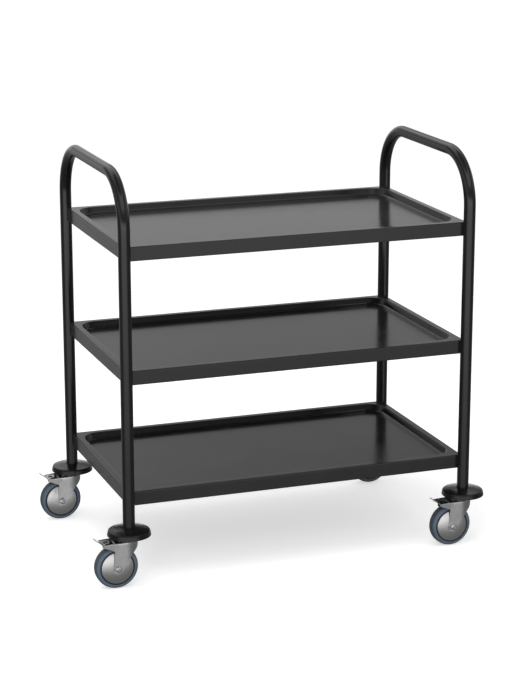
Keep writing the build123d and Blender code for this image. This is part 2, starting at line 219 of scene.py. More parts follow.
def piece(name, skins, body, finish, nodes=(), centre=(0, 0, 0), sharp=32, sheet=0, edge=0):
    """One object from its skins, with doubles merged and faces outward, on a body and in its nodes' place.

    The attribute place holds each vertex's place as seen from the given centre.
    """
    same_vertex, least_edge = 2e-6, 1e-6
    edge_steps, edge_angle = 3, math.radians(45)
    points = np.concatenate([vertices for vertices, _ in skins])
    offsets = np.cumsum([0] + [len(vertices) for vertices, _ in skins])
    faces = []
    for (_, part), offset in zip(skins, offsets):
        faces += [[corner + int(offset) for corner in face] for face in part]
    mesh = bpy.data.meshes.new(name)
    mesh.from_pydata(points.tolist(), [], faces)
    shape = bmesh.new()
    shape.from_mesh(mesh)
    bmesh.ops.remove_doubles(shape, verts=shape.verts, dist=same_vertex)
    bmesh.ops.dissolve_degenerate(shape, edges=shape.edges, dist=least_edge)
    bmesh.ops.recalc_face_normals(shape, faces=shape.faces)
    shape.to_mesh(mesh)
    shape.free()
    place = np.empty(len(mesh.vertices) * 3, np.float32)
    mesh.vertices.foreach_get("co", place)
    place = (place.reshape(-1, 3) - np.array(centre, np.float32)).ravel()
    mesh.attributes.new("place", "FLOAT_VECTOR", "POINT").data.foreach_set("vector", place)
    mesh.polygons.foreach_set("use_smooth", np.ones(len(mesh.polygons), bool))
    mesh.set_sharp_from_angle(angle=math.radians(sharp))
    mesh.materials.append(finish)
    made = bpy.data.objects.new(name, mesh)
    bpy.context.scene.collection.objects.link(made)
    if sheet:
        wall = made.modifiers.new("sheet", "SOLIDIFY")
        wall.thickness = sheet
        wall.offset = -1
        wall.use_even_offset = True
    if edge:
        round_edge = made.modifiers.new("edge", "BEVEL")
        round_edge.width = edge
        round_edge.segments = edge_steps
        round_edge.limit_method = "ANGLE"
        round_edge.angle_limit = edge_angle
        round_edge.harden_normals = True
    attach(made, body)
    if nodes:
        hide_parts(*nodes)
    return made


# Nodes of materials
def node(tree, kind, inputs=None, **settings):
    """Add a node. Each input is a plain value, or a socket that is linked to it."""
    made = tree.nodes.new(kind)
    for key, value in settings.items():
        setattr(made, key, value)
    for key, value in (inputs or {}).items():
        if isinstance(value, bpy.types.NodeSocket):
            tree.links.new(value, made.inputs[key])
        else:
            made.inputs[key].default_value = value
    return made


def maths(tree, operation, *values):
    """Result of one sum on plain values and sockets."""
    return node(tree, "ShaderNodeMath", dict(enumerate(values)), operation=operation).outputs[0]


def scaled(tree, value, low, high, from_low=0.0, from_high=1.0):
    """Bring a value from one range into another."""
    return node(tree, "ShaderNodeMapRange", {
        "Value": value, "From Min": from_low, "From Max": from_high, "To Min": low, "To Max": high,
    }).outputs["Result"]


def eased(tree, value, low, high):
    """Nought below one value and one above another, with a smooth change between them."""
    return node(tree, "ShaderNodeMapRange", {"Value": value, "From Min": low, "From Max": high},
                interpolation_type="SMOOTHSTEP").outputs["Result"]


def noise(tree, place, scale, detail, roughness=0.5, distortion=0.0):
    """Soft noise between nought and one, read at a place."""
    return node(tree, "ShaderNodeTexNoise", {
        "Vector": place, "Scale": scale, "Detail": detail, "Roughness": roughness, "Distortion": distortion,
    }).outputs["Fac"]


def stretched(tree, place, scales):
    """Place with each of its coordinates multiplied by a scale of its own."""
    scale = node(tree, "ShaderNodeCombineXYZ", dict(zip("XYZ", scales))).outputs[0]
    return node(tree, "ShaderNodeVectorMath", {0: place, 1: scale}, operation="MULTIPLY").outputs[0]


def standing(tree):
    """Place on a piece, in the trolley's own frame."""
    return node(tree, "ShaderNodeTexCoord").outputs["Object"]


def from_axle(tree):
    """Place on a wheel as seen from the middle of its axle, and the distance from the axle's line."""
    place = node(tree, "ShaderNodeAttribute", attribute_name="place", attribute_type="GEOMETRY")
    own = place.outputs["Vector"]
    flat = stretched(tree, own, (1.0, 0.0, 1.0))
    return own, node(tree, "ShaderNodeVectorMath", {0: flat}, operation="LENGTH").outputs["Value"]


def blend_colours(tree, factor, dark, light):
    """Colour between two, by a factor that changes over the surface."""
    return node(tree, "ShaderNodeMix", {"Factor": factor, 6: dark, 7: light}, data_type="RGBA").outputs[2]


def dress(tree, shader, colour, rough, height, depth):
    """Give a shader its colour, its roughness, and normals shaped by a height of some depth."""
    bump = node(tree, "ShaderNodeBump", {"Height": height, "Distance": depth})
    tree.links.new(colour, shader.inputs["Base Color"])
    tree.links.new(rough, shader.inputs["Roughness"])
    tree.links.new(bump.outputs["Normal"], shader.inputs["Normal"])


# Effects that several materials share
def shader_group(name, sizes, results):
    """Empty node group that reads a place and some sizes and puts out some values, with its two ends."""
    group = bpy.data.node_groups.new(name, "ShaderNodeTree")
    group.interface.new_socket("Place", in_out="INPUT", socket_type="NodeSocketVector")
    for label, value in sizes.items():
        socket = group.interface.new_socket(label, in_out="INPUT", socket_type="NodeSocketFloat")
        socket.default_value = value
    for label in results:
        group.interface.new_socket(label, in_out="OUTPUT", socket_type="NodeSocketFloat")
    return group, group.nodes.new("NodeGroupInput").outputs, group.nodes.new("NodeGroupOutput").inputs


def use_group(tree, group, inputs):
    """Place a node group in a material with its own values."""
    return node(tree, "ShaderNodeGroup", inputs, node_tree=group).outputs


def coat_group():
    """Sprayed coat: fine flow ripples as height, broad soft patches that vary gloss and shade, and specks."""
    group, given, result = shader_group(
        "sprayed coat", {"Ripple Size": 0.0015, "Patch Size": 0.12}, ["Height", "Patch", "Speck"])
    place = given["Place"]
    speck_scale = 2200.0
    ripple_scale = maths(group, "DIVIDE", 1.0, given["Ripple Size"])
    patch_scale = maths(group, "DIVIDE", 1.0, given["Patch Size"])
    ripple = noise(group, place, ripple_scale, detail=2.0, roughness=0.45)
    patch = noise(group, place, patch_scale, detail=4.0, roughness=0.6, distortion=0.4)
    speck = noise(group, place, speck_scale, detail=1.0)
    group.links.new(ripple, result["Height"])
    group.links.new(scaled(group, patch, 0, 1, from_low=0.3, from_high=0.7), result["Patch"])
    group.links.new(scaled(group, speck, 0, 1, from_low=0.62, from_high=0.78), result["Speck"])
    return group


def rub_group():
    """Hairline rub marks: long thin streaks of stretched noise, thinned to the brightest and broken up."""
    group, given, result = shader_group(
        "rub marks", {"Length": 0.08, "Width": 0.0006, "Turn": 0.3, "Amount": 0.5}, ["Mask"])
    place = given["Place"]
    broken_scale = 9.0
    turn = {"Vector": place, "Angle": given["Turn"]}
    turned = node(group, "ShaderNodeVectorRotate", turn, rotation_type="Z_AXIS").outputs[0]
    long_scale = maths(group, "DIVIDE", 1.0, given["Length"])
    wide_scale = maths(group, "DIVIDE", 1.0, given["Width"])
    streak_place = stretched(group, turned, (long_scale, wide_scale, long_scale))
    streak = noise(group, streak_place, scale=1.0, detail=2.0, roughness=0.6)
    broken = noise(group, place, broken_scale, detail=3.0)
    thin = scaled(group, streak, 0, 1, from_low=0.64, from_high=0.74)
    where = scaled(group, broken, 0, 1, from_low=0.46, from_high=0.64)
    both = maths(group, "MULTIPLY", thin, where)
    group.links.new(maths(group, "MULTIPLY", both, given["Amount"]), result["Mask"])
    return group


def plating_group():
    """Zinc plating on pressed sheet: fine drawing lines up the press, small crystals and dull clouds."""
    group, given, result = shader_group(
        "zinc plating", {"Line Width": 0.0004, "Crystal Size": 0.003}, ["Lines", "Crystals", "Clouds"])
    place = given["Place"]
    upright_scale, cloud_scale = 40.0, 45.0
    line_scale = maths(group, "DIVIDE", 1.0, given["Line Width"])
    line_place = stretched(group, place, (line_scale, line_scale, upright_scale))
    lines = noise(group, line_place, scale=1.0, detail=3.0, roughness=0.6)
    crystal_scale = maths(group, "DIVIDE", 1.0, given["Crystal Size"])
    crystals = node(group, "ShaderNodeTexVoronoi", {"Vector": place, "Scale": crystal_scale}, feature="F1")
    tone = node(group, "ShaderNodeSeparateColor", {"Color": crystals.outputs["Color"]})
    clouds = noise(group, place, cloud_scale, detail=5.0, roughness=0.6, distortion=0.6)
    group.links.new(lines, result["Lines"])
    group.links.new(tone.outputs["Red"], result["Crystals"])
    group.links.new(scaled(group, clouds, 0, 1, from_low=0.32, from_high=0.68), result["Clouds"])
    return group


sprayed_coat = coat_group()
rub_marks = rub_group()
zinc_plating = plating_group()


# Materials
def new_finish(name, metallic, specular, coat=0.0, coat_roughness=0.2):
    """Material with one Principled shader, and its tree."""
    material = bpy.data.materials.new(name)
    material.use_nodes = True
    tree = material.node_tree
    shader = tree.nodes["Principled BSDF"]
    shader.inputs["Metallic"].default_value = metallic
    shader.inputs["Specular IOR Level"].default_value = specular
    shader.inputs["Coat Weight"].default_value = coat
    shader.inputs["Coat Roughness"].default_value = coat_roughness
    return material, tree, shader


def black_coat(name, shade, gloss, ripple, marks, shine):
    """Satin black coat: ripples in its surface, patches that vary its gloss, pale specks and thin rubs."""
    dark_tint, light_tint = (0.86, 0.86, 0.9), (1.12, 1.12, 1.15)
    speck_tone, rub_tone = (0.10, 0.10, 0.105, 1), (0.11, 0.11, 0.115, 1)
    patch_size, speck_share, gloss_spread, rub_dulling, ripple_height = 0.14, 0.2, 0.035, 0.15, 0.00002
    material, tree, shader = new_finish(name, metallic=0.0, specular=shine)
    place = standing(tree)
    coat = use_group(tree, sprayed_coat, {"Place": place, "Ripple Size": ripple, "Patch Size": patch_size})
    rubs = use_group(tree, rub_marks, {"Place": place, "Amount": marks})
    dark = (*(shade * tint for tint in dark_tint), 1)
    light = (*(shade * tint for tint in light_tint), 1)
    ground = blend_colours(tree, coat["Patch"], dark, light)
    specked = blend_colours(tree, scaled(tree, coat["Speck"], 0, speck_share), ground, speck_tone)
    colour = blend_colours(tree, rubs["Mask"], specked, rub_tone)
    satin = scaled(tree, coat["Patch"], gloss - gloss_spread, gloss + gloss_spread)
    rough = maths(tree, "MULTIPLY_ADD", rubs["Mask"], rub_dulling, satin)
    dress(tree, shader, colour, rough, coat["Height"], ripple_height)
    return material


def moulded(name, shade, light, gloss, grain, shine=0.5):
    """Moulded plastic or rubber: eggshell grain, flow patches and slightly uneven gloss."""
    patch_size, gloss_spread, grain_height = 0.04, 0.05, 0.00003
    rub_gain, rub_lift = 1.6, 0.03
    material, tree, shader = new_finish(name, metallic=0.0, specular=shine)
    place = standing(tree)
    flow = use_group(tree, sprayed_coat, {"Place": place, "Ripple Size": grain, "Patch Size": patch_size})
    rubs = use_group(tree, rub_marks, {
        "Place": place, "Length": 0.02, "Width": 0.0004, "Turn": 0.9, "Amount": 0.3})
    ground = blend_colours(tree, flow["Patch"], shade, light)
    pale = (*(min(1.0, tone * rub_gain + rub_lift) for tone in light[:3]), 1)
    colour = blend_colours(tree, rubs["Mask"], ground, pale)
    satin = scaled(tree, flow["Patch"], gloss - gloss_spread, gloss + gloss_spread)
    dress(tree, shader, colour, satin, flow["Height"], grain_height)
    return material


def plated(name, shade, light, gloss, line_width, crystal):
    """Zinc-plated steel: drawing lines in height and gloss, faint crystals and dull clouds in its colour."""
    crystal_share, cloud_share = 0.35, 0.65
    cloud_dulling, cloud_polish, line_dulling, line_height = 0.06, 0.04, 0.12, 0.00002
    material, tree, shader = new_finish(name, metallic=1.0, specular=0.5)
    zinc = use_group(tree, zinc_plating, {
        "Place": standing(tree), "Line Width": line_width, "Crystal Size": crystal})
    clouds = scaled(tree, zinc["Clouds"], 0, cloud_share)
    mixed = maths(tree, "MULTIPLY_ADD", zinc["Crystals"], crystal_share, clouds)
    colour = blend_colours(tree, mixed, shade, light)
    base = scaled(tree, zinc["Clouds"], gloss + cloud_dulling, gloss - cloud_polish)
    lined = maths(tree, "MULTIPLY_ADD", zinc["Lines"], line_dulling, base)
    dress(tree, shader, colour, lined, zinc["Lines"], line_height)
    return material


def silver_guard():
    """Silver-grey wheel cover: faint turned rings about its own axle, under a clear gloss."""
    shade, light = (0.58, 0.577, 0.57, 1), (0.71, 0.707, 0.70, 1)
    ring_scale, ring_share, ring_height = 2400.0, 0.5, 0.000006
    cloud_scale, cloud_share = 60.0, 0.5
    ring_gloss = (0.24, 0.34)
    material, tree, shader = new_finish(
        "silver guard", metallic=1.0, specular=0.5, coat=0.35, coat_roughness=0.12)
    own, radius = from_axle(tree)
    ring_place = {"W": radius, "Scale": ring_scale, "Detail": 3.0}
    rings = node(tree, "ShaderNodeTexNoise", ring_place, noise_dimensions="1D").outputs["Fac"]
    clouds = scaled(tree, noise(tree, own, cloud_scale, detail=4.0), 0, cloud_share)
    tone = maths(tree, "MULTIPLY_ADD", rings, ring_share, clouds)
    colour = blend_colours(tree, tone, shade, light)
    dress(tree, shader, colour, scaled(tree, rings, *ring_gloss), rings, ring_height)
    return material


def rubber_tyre():
    """Blue-grey rubber: cloudy bloom, fine grain, painted shade on the tread and painted shadow at the bead.
    """
    shade, light = (0.108, 0.148, 0.202, 1), (0.145, 0.194, 0.258, 1)
    # Painted shade and shadow: a dark tone for the tread, and a darker one for the bead next to the cover
    tread_shade_tone, bead_shadow_tone = (0.045, 0.055, 0.06, 1), (0.008, 0.01, 0.014, 1)
    tread_start, tread_end, tread_share = wheel_radius - 0.0045, wheel_radius - 0.0005, 0.8
    bead_start, bead_end = rim_radius + 0.0018, rim_radius + 0.0032
    grain, patch_size, grain_height = 0.0007, 0.025, 0.00004
    bloom_gloss = (0.42, 0.55)
    material, tree, shader = new_finish("blue grey rubber", metallic=0.0, specular=0.45)
    own, radius = from_axle(tree)
    bloom = use_group(tree, sprayed_coat, {"Place": own, "Ripple Size": grain, "Patch Size": patch_size})
    ground = blend_colours(tree, bloom["Patch"], shade, light)
    # Painted shade: the tread darkens towards the outside of the tyre
    tread = scaled(tree, radius, 0, tread_share, from_low=tread_start, from_high=tread_end)
    shaded_tread = blend_colours(tree, tread, ground, tread_shade_tone)
    # Painted shadow: the bead darkens inside the wheel cover's edge, where the gap lies in shade
    bead_shadow = scaled(tree, radius, 1, 0, from_low=bead_start, from_high=bead_end)
    colour = blend_colours(tree, bead_shadow, shaded_tread, bead_shadow_tone)
    satin = scaled(tree, bloom["Patch"], *bloom_gloss)
    dress(tree, shader, colour, satin, bloom["Height"], grain_height)
    return material


tube_black = black_coat("tube coat", shade=0.007, gloss=0.18, ripple=0.0016, marks=0.25, shine=0.6)
tray_black = black_coat("tray coat", shade=0.016, gloss=0.17, ripple=0.0018, marks=0.08, shine=0.47)
bumper_black = moulded("bumper plastic", shade=(0.006, 0.006, 0.0065, 1), light=(0.009, 0.009, 0.0095, 1),
                       gloss=0.2, grain=0.0006, shine=0.38)
shoe_black = moulded("brake rubber", shade=(0.012, 0.012, 0.012, 1), light=(0.02, 0.02, 0.021, 1),
                     gloss=0.6, grain=0.0005)
core_grey = moulded("wheel centre plastic", shade=(0.10, 0.105, 0.115, 1), light=(0.14, 0.145, 0.155, 1),
                    gloss=0.5, grain=0.0007)
lever_steel = plated("polished lever steel", shade=(0.4, 0.4, 0.4, 1), light=(0.54, 0.54, 0.535, 1),
                     gloss=0.1, line_width=0.0004, crystal=0.003)
castor_steel = plated("pressed plated steel", shade=(0.54, 0.54, 0.545, 1), light=(0.70, 0.70, 0.70, 1),
                      gloss=0.22, line_width=0.0005, crystal=0.003)
fastener_zinc = plated("fastener zinc", shade=(0.5, 0.5, 0.49, 1), light=(0.68, 0.67, 0.65, 1),
                       gloss=0.26, line_width=0.0003, crystal=0.0015)
guard_silver = silver_guard()
tyre_rubber = rubber_tyre()


# Frame and trays
def hoop(side):
    """Round tube along a bent line of legs and handle: a circle stands across the line at each point."""
    top = handle_height - tube_radius
    bend_steps, ring = 33, 72
    line = rounded([(-half_width, leg_foot, 0), (-half_width, top, handle_bend),
                    (half_width, top, handle_bend), (half_width, leg_foot, 0)], bend_steps)
    run = np.diff(line, axis=0)
    run /= np.linalg.norm(run, axis=1)[:, None]
    along = np.vstack([run[:1], run[:-1] + run[1:], run[-1:]])
    along /= np.linalg.norm(along, axis=1)[:, None]
    angle = full_turn(ring)
    out = tube_radius * np.cos(angle)
    x = side * half_length + tube_radius * np.sin(angle)
    y = line[:, :1] - along[:, 1:] * out
    z = line[:, 1:] + along[:, :1] * out
    return [skin(joined(x, y, z), capped=True)]


def tray_quarter(inset):
    """A quarter of a tray's outline, from the middle of its right side to the middle of its back.

    Near the skirt the outline is the rectangle less the inset, cut by a circle about the leg's axis.  Further
    in it is a rectangle with round corners, whose circles share one centre.
    """
    arc_points, side_points = 15, 4
    x, y = tray_half_length - inset, tray_half_width - inset
    if inset < notch_reach:
        radius = tube_radius - notch_bite + inset
        centre_x, centre_y = half_length, half_width
        first = math.atan2(-math.sqrt(radius**2 - (centre_x - x)**2), x - centre_x)
        last = math.atan2(y - centre_y, -math.sqrt(radius**2 - (centre_y - y)**2))
    else:
        radius = pan_corner + rim_width - inset
        centre_x, centre_y = x - radius, y - radius
        first, last = 0, math.pi / 2
    angle = first + (last - first) * np.linspace(0, 1, arc_points)
    arc = joined(centre_x + radius * np.cos(angle), centre_y + radius * np.sin(angle))
    along = np.linspace(0, 1, side_points, endpoint=False)[:, None]
    side = np.array([x, 0]) * (1 - along) + arc[0] * along
    back = np.array([0, y]) * (1 - along) + arc[-1] * along
    return np.concatenate([side, arc, back[::-1]])


def tray(top):
    """Pressed tray: the outline for each inset of the sheet's section, one above the other at its height."""
    wall = rim_width + pan_wall_run
    under_wall = tray_sheet * math.hypot(pan_wall_run, pan_depth) / pan_depth
    under_slant = tray_sheet * pan_wall_run / pan_depth
    middle = 0.055
    hem_edge, lip_under = tray_sheet * 0.3, pan_lip / 3
    bend_steps = 7
    section = rounded([
        (middle, -pan_depth, 0),
        (wall, -pan_depth, pan_foot),
        (rim_width, 0, pan_lip),
        (0, 0, skirt_bend),
        (0, -skirt_height, hem_bend),
        (hem_width, -skirt_height, hem_edge),
        (hem_width, tray_sheet - skirt_height, hem_edge),
        (tray_sheet, tray_sheet - skirt_height, 0),
        (tray_sheet, -tray_sheet, skirt_bend - tray_sheet),
        (rim_width - under_wall + under_slant, -tray_sheet, lip_under),
        (wall - under_wall + under_slant, -pan_depth - tray_sheet, pan_foot + tray_sheet),
        (middle, -pan_depth - tray_sheet, 0),
    ], bend_steps)
    quarters = np.stack([tray_quarter(inset) for inset in section[:, 0]])
    outline = np.concatenate([
        quarters[:, :-1],
        quarters[:, :0:-1] * (-1, 1),
        quarters[:, :-1] * (-1, -1),
        quarters[:, :0:-1] * (1, -1),
    ], axis=1)
    return [skin(joined(outline[..., 0], outline[..., 1], top + section[:, 1:]), capped=True)]


# Feet
def bumper():
    """Buffer disc turned from one closed section with a hollow underneath, and ribs set round the hollow."""
    base = bumper_base
    stem, hub, rim, shoulder, crown = 0.0062, 0.025, 0.050, 0.0478, 0.032
    collar, socket = tube_radius + 0.0025, tube_radius + 0.00005
    wall, ceiling, top = 0.003, base + 0.009, base + 0.017
    shoulder_level, crown_level = base + 0.012, base + 0.015
    foot_edge, rim_edge, hub_root, wall_root = 0.0005, 0.0008, 0.0008, 0.001
    shoulder_edge, crown_edge, collar_edge, socket_edge = 0.004, 0.030, 0.0006, 0.0004
    section = rounded([
        (stem, base, 0),
        (hub, base, foot_edge),
        (hub, ceiling, hub_root),
        (shoulder - wall, ceiling, wall_root),
        (rim - wall, base, foot_edge),
        (rim, base, rim_edge),
        (shoulder, shoulder_level, shoulder_edge),
        (crown, crown_level, crown_edge),
        (collar, top, collar_edge),
        (socket, top, socket_edge),
        (socket, leg_foot, 0),
        (stem, leg_foot, 0),
    ], closed=True)
    rib_count, rib_half, raised, sunk = 8, 0.001, 0.0003, 0.0004
    rib = np.array([(hub - raised, base + raised), (rim - wall + sunk, base + raised),
                    (shoulder - wall + sunk, ceiling + sunk), (hub - raised, ceiling + sunk)])
    plate = prism(rib, -rib_half, rib_half)
    ribs = [skin(turned_about(plate, turn), capped=True) for turn in full_turn(rib_count)]
    return [skin(lathe(section, turns=128), round_rows=True)] + ribs


def swivel_head():
    """Bearing plate with its pin, and the pin's riveted end under the crown, each turned from a section."""
    pin, pin_low, pin_edge = 0.006, crown_top + 0.0002, 0.0004
    rim, rim_edge = 0.025, 0.0025
    plate = rounded([(0, pin_low, 0), (pin, pin_low, pin_edge), (pin, bearing_under, 0),
                     (rim, bearing_under, rim_edge), (rim, bumper_base, 0), (0, bumper_base, 0)])
    head, head_edge, head_top = 0.009, 0.002, crown_under - 0.0003
    head_low = head_top - 0.0032
    end = rounded([(0, head_top, 0), (head, head_top, 0), (head, head_low, head_edge), (0, head_low, 0)])
    return [skin(lathe(plate)), skin(lathe(end))]


def ball_ring():
    """Ring of balls in a thin cage: spheres from two angles, set round a circle."""
    radius, pitch, count = 0.00165, 0.017, 20
    ball_rows, ball_columns = 11, 16
    level = bearing_under - radius
    tilt = np.linspace(-math.pi / 2, math.pi / 2, ball_rows)
    ball = lathe(joined(radius * np.cos(tilt), radius * np.sin(tilt) + level), ball_columns)
    balls = [skin(turned_about(ball + np.array([pitch, 0, 0]), turn)) for turn in full_turn(count)]
    inside, outside, half, edge = 0.0142, 0.0198, 0.0007, 0.0003
    cage = rounded([(inside, level - half, edge), (outside, level - half, edge),
                    (outside, level + half, edge), (inside, level + half, edge)], steps=4, closed=True)
    return balls + [skin(lathe(cage), round_rows=True)]


# Castors
def fork():
    """Pressed fork as one bent sheet, worked out as it lies flat and then wrapped round its plan.

    Its length runs along a flared arm and a straight cheek, and on round a quarter of an ellipse to the nose.
    Across that length each column goes straight from the lower outline up to the bend, then round the bend
    towards the inside, then over the crown to the middle.  On an arm it stops at the sloping top edge.  The
    other half is its mirror image.
    """
    plan_points, columns, wall_rows, bend_rows, crown_rows = 600, 260, 16, 11, 7
    swing = np.linspace(0, math.pi / 2, plan_points)
    start = fork_nose - fork_nose_length
    plan_x = np.concatenate([[-fork_tail, -arm_crease], start + fork_nose_length * np.sin(swing)])
    plan_y = np.concatenate([[-fork_half - arm_flare, -fork_half], -fork_half * np.cos(swing)])
    reach = np.concatenate([[0], np.cumsum(np.hypot(np.diff(plan_x), np.diff(plan_y)))])
    normal = joined(-np.gradient(plan_y, reach), np.gradient(plan_x, reach))
    normal /= np.linalg.norm(normal, axis=1)[:, None]

    def on_plan(way):
        """X and Y of the plan at a distance along it."""
        return np.interp(way, reach, plan_x), np.interp(way, reach, plan_y)

    bend_start = crown_top - fork_bend
    boss, boss_blend, corner = 0.011, 0.010, 0.006
    foot = (0.003, 0.0815)
    root = (-arm_crease, crown_top - 0.0195)
    tail_low, nose_low = crown_top - 0.0077, crown_under - 0.0058
    lower = rounded([
        (-fork_tail, tail_low, 0),
        (*root, corner),
        (-trail - boss, wheel_radius, 0),
        (-trail - boss, wheel_radius - boss, boss),
        (-trail + boss, wheel_radius - boss, boss),
        (-trail + boss, wheel_radius, boss_blend),
        (*foot, corner),
        (fork_nose, nose_low, 0),
    ], steps=17)
    lower_reach = np.interp(lower[:, 0], plan_x, reach)
    length = np.concatenate([[0], np.cumsum(np.hypot(np.diff(lower_reach), np.diff(lower[:, 1])))])
    lowest = (-trail, wheel_radius - boss)
    nearest = [length[np.argmin(np.hypot(*(lower - place).T))] for place in (root, lowest, foot)]
    column = np.linspace(0, length[-1], columns)
    over_root, over_lowest = -0.036, -0.0275
    top_x = np.array([-fork_tail, over_root, over_lowest, foot[0], fork_nose])
    top_reach = np.interp(column, [0, *nearest, length[-1]], np.interp(top_x, plan_x, reach))
    low_reach = np.interp(column, length, lower_reach)
    low_height = np.interp(column, length, lower[:, 1])

    edge_x, _ = on_plan(top_reach)
    has_crown = edge_x > -crown_tail
    slope = np.clip((-crown_tail - edge_x) / (fork_tail - crown_tail), 0, 1)
    over_bend = crown_top - arm_drop * slope - bend_start
    wall_top = bend_start + np.minimum(over_bend, 0)
    open_edge = math.acos((fork_half_inside - fork_half + fork_bend) / fork_bend)
    cut_edge = np.minimum(np.arcsin(np.clip(over_bend / fork_bend, 0, 1)), open_edge)
    last_roll = np.where(has_crown, math.pi / 2, cut_edge)

    rise = np.linspace(0, 1, wall_rows)[:, None]
    wall_height = low_height + (wall_top - low_height) * rise
    wall = joined(*on_plan(low_reach + (top_reach - low_reach) * rise), wall_height)

    inward_x = np.interp(top_reach, reach, normal[:, 0])
    inward_y = np.interp(top_reach, reach, normal[:, 1])
    roll = np.linspace(0, 1, bend_rows)[1:, None] * last_roll
    step_in = fork_bend * (1 - np.cos(roll))
    bend = joined(wall[-1, :, 0] + step_in * inward_x, wall[-1, :, 1] + step_in * inward_y,
                  wall_top + fork_bend * np.sin(roll))

    across = np.linspace(1, 0, crown_rows)[1:, None]
    crown = joined(bend[-1, :, 0], bend[-1, :, 1] * across, crown_top)
    half = np.concatenate([wall, bend, crown])
    on_side = np.arange(len(half) - 1) < len(wall) + len(bend) - 1
    keep = on_side[:, None] | has_crown[:-1]
    mirror = half * np.array([1, -1, 1])
    return [skin(side, round_columns=False, keep=keep) for side in (half, mirror)]


def hexagon(flats, low, high):
    """Hexagonal bar about Z with turned ends.

    At the angle a its radius is half the flats divided by cos(a) within each sixth, and where that passes the
    round end face the end falls away at thirty degrees.
    """
    face_share, ring = 0.475, 96
    angle = full_turn(ring)
    sixth = np.mod(angle + math.pi / 6, math.pi / 3) - math.pi / 6
    edge = flats / 2 / np.cos(sixth)
    face = np.full_like(edge, flats * face_share)
    fall = (edge - face) * math.tan(math.pi / 6)
    none = np.zeros_like(edge)
    radii = np.stack([none, face, edge, edge, face, none])
    heights = np.stack([low + none, low + none, low + fall, high - fall, high + none, high + none])
    return joined(radii * np.cos(angle), radii * np.sin(angle), heights)


def thread(radius, pitch, low, high):
    """Screw thread: the radius follows a triangle wave of the height less the turn's share of the pitch."""
    rows, columns = 33, 72
    depth, run_out = pitch * 0.5, pitch * 0.6
    angle = full_turn(columns)
    height = np.linspace(low, high, rows)[:, None]
    wave = np.abs(np.mod(height / pitch - angle / (2 * math.pi), 1) * 2 - 1)
    taper = np.clip((high - height) / run_out, 0.0, 1.0)
    round_radius = radius - depth * (1 - wave * taper)
    return joined(round_radius * np.cos(angle), round_radius * np.sin(angle), height)


def axle_bolt():
    """Bolt along the axle: its hexagon head at the back, a plain shank and a threaded end before the nut."""
    head_height, pitch = 0.0053, 0.00125
    shank_end = fork_half + 0.004
    stub_start, stub_end = fork_half + 0.0035, fork_half + 0.0085
    head = hexagon(bolt_flats, -fork_half - head_height, -fork_half)
    profile = np.array([(0, -fork_half), (bolt_radius, -fork_half), (bolt_radius, shank_end), (0, shank_end)])
    shank = lathe(profile, turns=48)
    stub = thread(bolt_radius, pitch, stub_start, stub_end)
    return [skin(across_axle(head)), skin(across_axle(shank)), skin(across_axle(stub), capped=True)]


def axle_nut():
    """Hexagon nut on a thin washer against the front cheek."""
    washer_radius, washer_face, washer_edge = 0.0078, fork_half + 0.0012, 0.0003
    nut = hexagon(bolt_flats, fork_half + 0.001, fork_half + 0.0065)
    washer = rounded([(0, fork_half, 0), (washer_radius, fork_half, washer_edge),
                      (washer_radius, washer_face, washer_edge), (0, washer_face, 0)], steps=5)
    return [skin(across_axle(nut)), skin(across_axle(lathe(washer)))]


def thread_guards():
    """The two wheel covers: one closed section, falling in a shallow dome from boss to edge, on each side."""
    wall, gap = 0.0016, 0.0006
    outside = fork_half_inside
    inside = outside - wall
    bore, boss, rim = 0.0062, 0.013, 0.037
    dome, dome_face, dome_radius = 0.025, outside - 0.00095, 0.12
    boss_root, boss_edge, lip, lip_edge, rim_edge = 0.002, 0.004, 0.0008, 0.0003, 0.0007
    edge_face = tyre_half - rim_inset + gap
    section = rounded([
        (bore, inside, 0),
        (boss, inside, boss_root),
        (dome, dome_face - wall, dome_radius - wall),
        (rim - lip, edge_face, lip_edge),
        (rim, edge_face, lip_edge),
        (rim, edge_face + wall, rim_edge),
        (dome, dome_face, dome_radius),
        (boss, outside, boss_edge),
        (bore, outside, 0),
    ], closed=True)
    front = lathe(section, turns=128)
    back = front * np.array([1, -1, -1])
    return [skin(across_axle(cover), round_rows=True) for cover in (front, back)]


def wheel_core():
    """Moulded wheel centre: hub, web and rim in one closed turned section."""
    bore, hub, rim = 0.0061, 0.011, rim_radius - 0.004
    hub_half, web, rim_half = 0.015, 0.003, tyre_half - rim_inset
    ease = 0.0006
    section = rounded(both_ways([
        (rim_radius, rim_half, 0), (rim, rim_half, ease), (rim, web, ease),
        (hub, web, ease), (hub, hub_half, ease), (bore, hub_half, 0),
    ]), steps=5, closed=True)
    return [skin(across_axle(lathe(section)), round_rows=True)]


def tyre():
    """Tyre turned from a closed section: beads, sides, shoulders, and a tread with a fine parting ridge."""
    side, tread, flat = tyre_half, 0.0075, wheel_radius - 0.0001
    shoulder = wheel_radius - 0.005
    ridge, bead_edge, shoulder_edge = 0.0003, 0.002, 0.008
    section = rounded(both_ways([
        (wheel_radius, ridge, 0),
        (flat, 2 * ridge, 0),
        (flat, tread, shoulder_edge),
        (shoulder, side, shoulder_edge),
        (rim_radius, side, bead_edge),
    ]), steps=11, closed=True)
    return [skin(across_axle(lathe(section, turns=144)), round_rows=True)]


# Brakes
def brake_pin():
    """Riveted pin: a rod with a domed head at each end, turned and laid across the arms."""
    rod, head, out, dome = 0.002, 0.00325, fork_half + 0.0007, 0.0006
    half = [(rod, fork_half, 0), (head, fork_half, 0), (head, out, dome), (0, out, 0)]
    x, y, z = np.moveaxis(lathe(rounded(both_ways(half), steps=8), turns=48), -1, 0)
    return [skin(joined(x - pin_back, -z, y + pin_height))]


